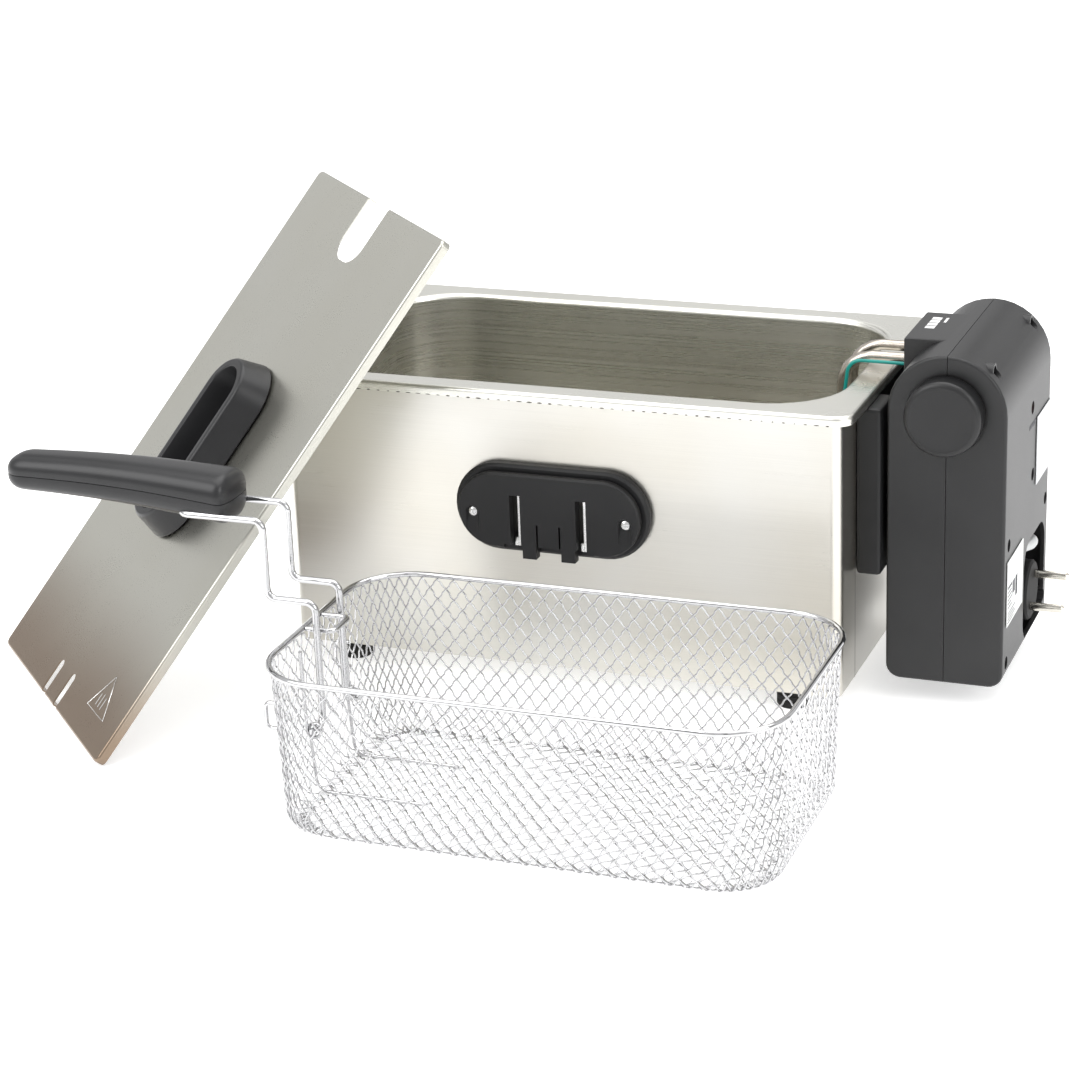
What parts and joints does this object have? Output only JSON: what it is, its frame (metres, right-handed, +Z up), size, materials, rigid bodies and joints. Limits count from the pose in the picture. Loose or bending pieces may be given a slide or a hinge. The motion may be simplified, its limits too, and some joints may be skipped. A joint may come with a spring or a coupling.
{
  "type": "deep fryer",
  "caption": "Household deep fryer with a steel housing, drawn oil pan, hook-on control unit and heater, wire basket with folding handle, and a loose steel lid leaning on it.",
  "frame": {"origin": "centre of the bounding box of everything but the cord, at the level of the surface that the fryer stands on", "axes": "+X from the lid towards the control unit, along the housing; +Y from the basket towards the housing; +Z up"},
  "size_m": [0.5895, 0.4106, 0.2575],
  "materials": {
    "black_plastic": "fine-grained moulded plastic",
    "black_rubber": "dull rubber",
    "brushed_steel": "satin brushed stainless sheet",
    "chrome_wire": "bright chromed wire",
    "cord_jacket": "satin grey cable jacket",
    "grip_plastic": "smooth satin moulded plastic",
    "heater_steel": "warm, slightly heat-tinted steel tube",
    "lid_steel": "satin brushed stainless sheet",
    "pan_steel": "drawn stainless steel, softly bright",
    "paper_label": "blank white film label",
    "pin_nickel": "nickel-plated pin",
    "red_button": "small red push button",
    "screw_steel": "plated screw",
    "silver_label": "blank silvered foil label",
    "teal_sleeve": "glossy teal insulating sleeve",
    "white_plastic": "plain moulded plastic"
  },
  "bodies": {
    "fryer_body": {"outer_housing": "brushed_steel", "oil_pan": "pan_steel", "base_plate": "brushed_steel", "foot_front_left": "black_rubber", "foot_rear_left": "black_rubber", "foot_front_right": "black_rubber", "foot_rear_right": "black_rubber", "front_mount_base": "black_plastic", "front_mount_cover": "black_plastic", "front_mount_screw_left": "screw_steel", "front_mount_screw_right": "screw_steel", "rear_mount_base": "black_plastic", "rear_mount_cover": "black_plastic", "rear_mount_screw_left": "screw_steel", "rear_mount_screw_right": "screw_steel", "guide_rail": "black_plastic"},
    "control_unit": {"inner_shell": "black_plastic", "outer_shell": "black_plastic", "shell_screw_1": "screw_steel", "shell_screw_2": "screw_steel", "shell_screw_3": "screw_steel", "shell_screw_4": "screw_steel", "shell_screw_5": "screw_steel", "shell_screw_6": "screw_steel", "shell_screw_7": "screw_steel", "heating_element": "heater_steel", "element_clamp": "heater_steel", "capillary": "teal_sleeve", "sensor_bulb": "heater_steel", "thermostat_body": "white_plastic", "thermal_cutout": "white_plastic", "terminal_block": "white_plastic", "compartment_ceiling": "black_plastic", "cord_gland": "black_rubber", "cord_coil": "cord_jacket", "cord_tail": "cord_jacket", "cord_lead": "cord_jacket", "plug_body": "black_rubber", "plug_pin_upper": "pin_nickel", "plug_pin_lower": "pin_nickel", "type_plate": "silver_label", "rating_sticker": "paper_label"},
    "thermostat_knob": {"knob_cap": "black_plastic", "knob_shaft": "screw_steel"},
    "reset_plunger": {"reset_button": "red_button"},
    "fry_basket": {"basket_rim": "chrome_wire", "basket_mesh": "chrome_wire", "handle_bracket": "chrome_wire", "support_wire_front": "chrome_wire", "drain_hook_front": "chrome_wire", "support_wire_rear": "chrome_wire", "drain_hook_rear": "chrome_wire"},
    "basket_handle": {"handle_wire": "chrome_wire", "grip_upper": "grip_plastic", "grip_lower": "grip_plastic"},
    "lid": {"lid_plate": "lid_steel", "lid_grip": "grip_plastic", "lid_screw_lower": "screw_steel", "lid_screw_upper": "screw_steel"}
  },
  "joints": [
    {"name": "unit_lift", "type": "slide", "parent": "fryer_body", "child": "control_unit", "axis": [0, 0, 1], "range_m": [0, 0.2]},
    {"name": "knob_turn", "type": "hinge", "parent": "control_unit", "child": "thermostat_knob", "pos_m": [0.25348, 0.04725, 0.1662], "axis": [0, -1, 0], "range_deg": [-270, 0]},
    {"name": "reset_press", "type": "slide", "parent": "control_unit", "child": "reset_plunger", "axis": [-1, 0, 0], "range_m": [0, 0.002], "stiffness_N_per_m": 300},
    {"name": "basket_lift", "type": "slide", "parent": "fryer_body", "child": "fry_basket", "axis": [0, 0, 1], "range_m": [0, 0.3]},
    {"name": "handle_fold", "type": "hinge", "parent": "fry_basket", "child": "basket_handle", "pos_m": [-0.02602, -0.12675, 0.037], "axis": [0, 1, 0], "range_deg": [0, 88]},
    {"name": "lid_lift_off", "type": "slide", "parent": "fryer_body", "child": "lid", "axis": [0.28, 0.2771, 0.9191], "range_m": [0, 0.22]}
  ]
}
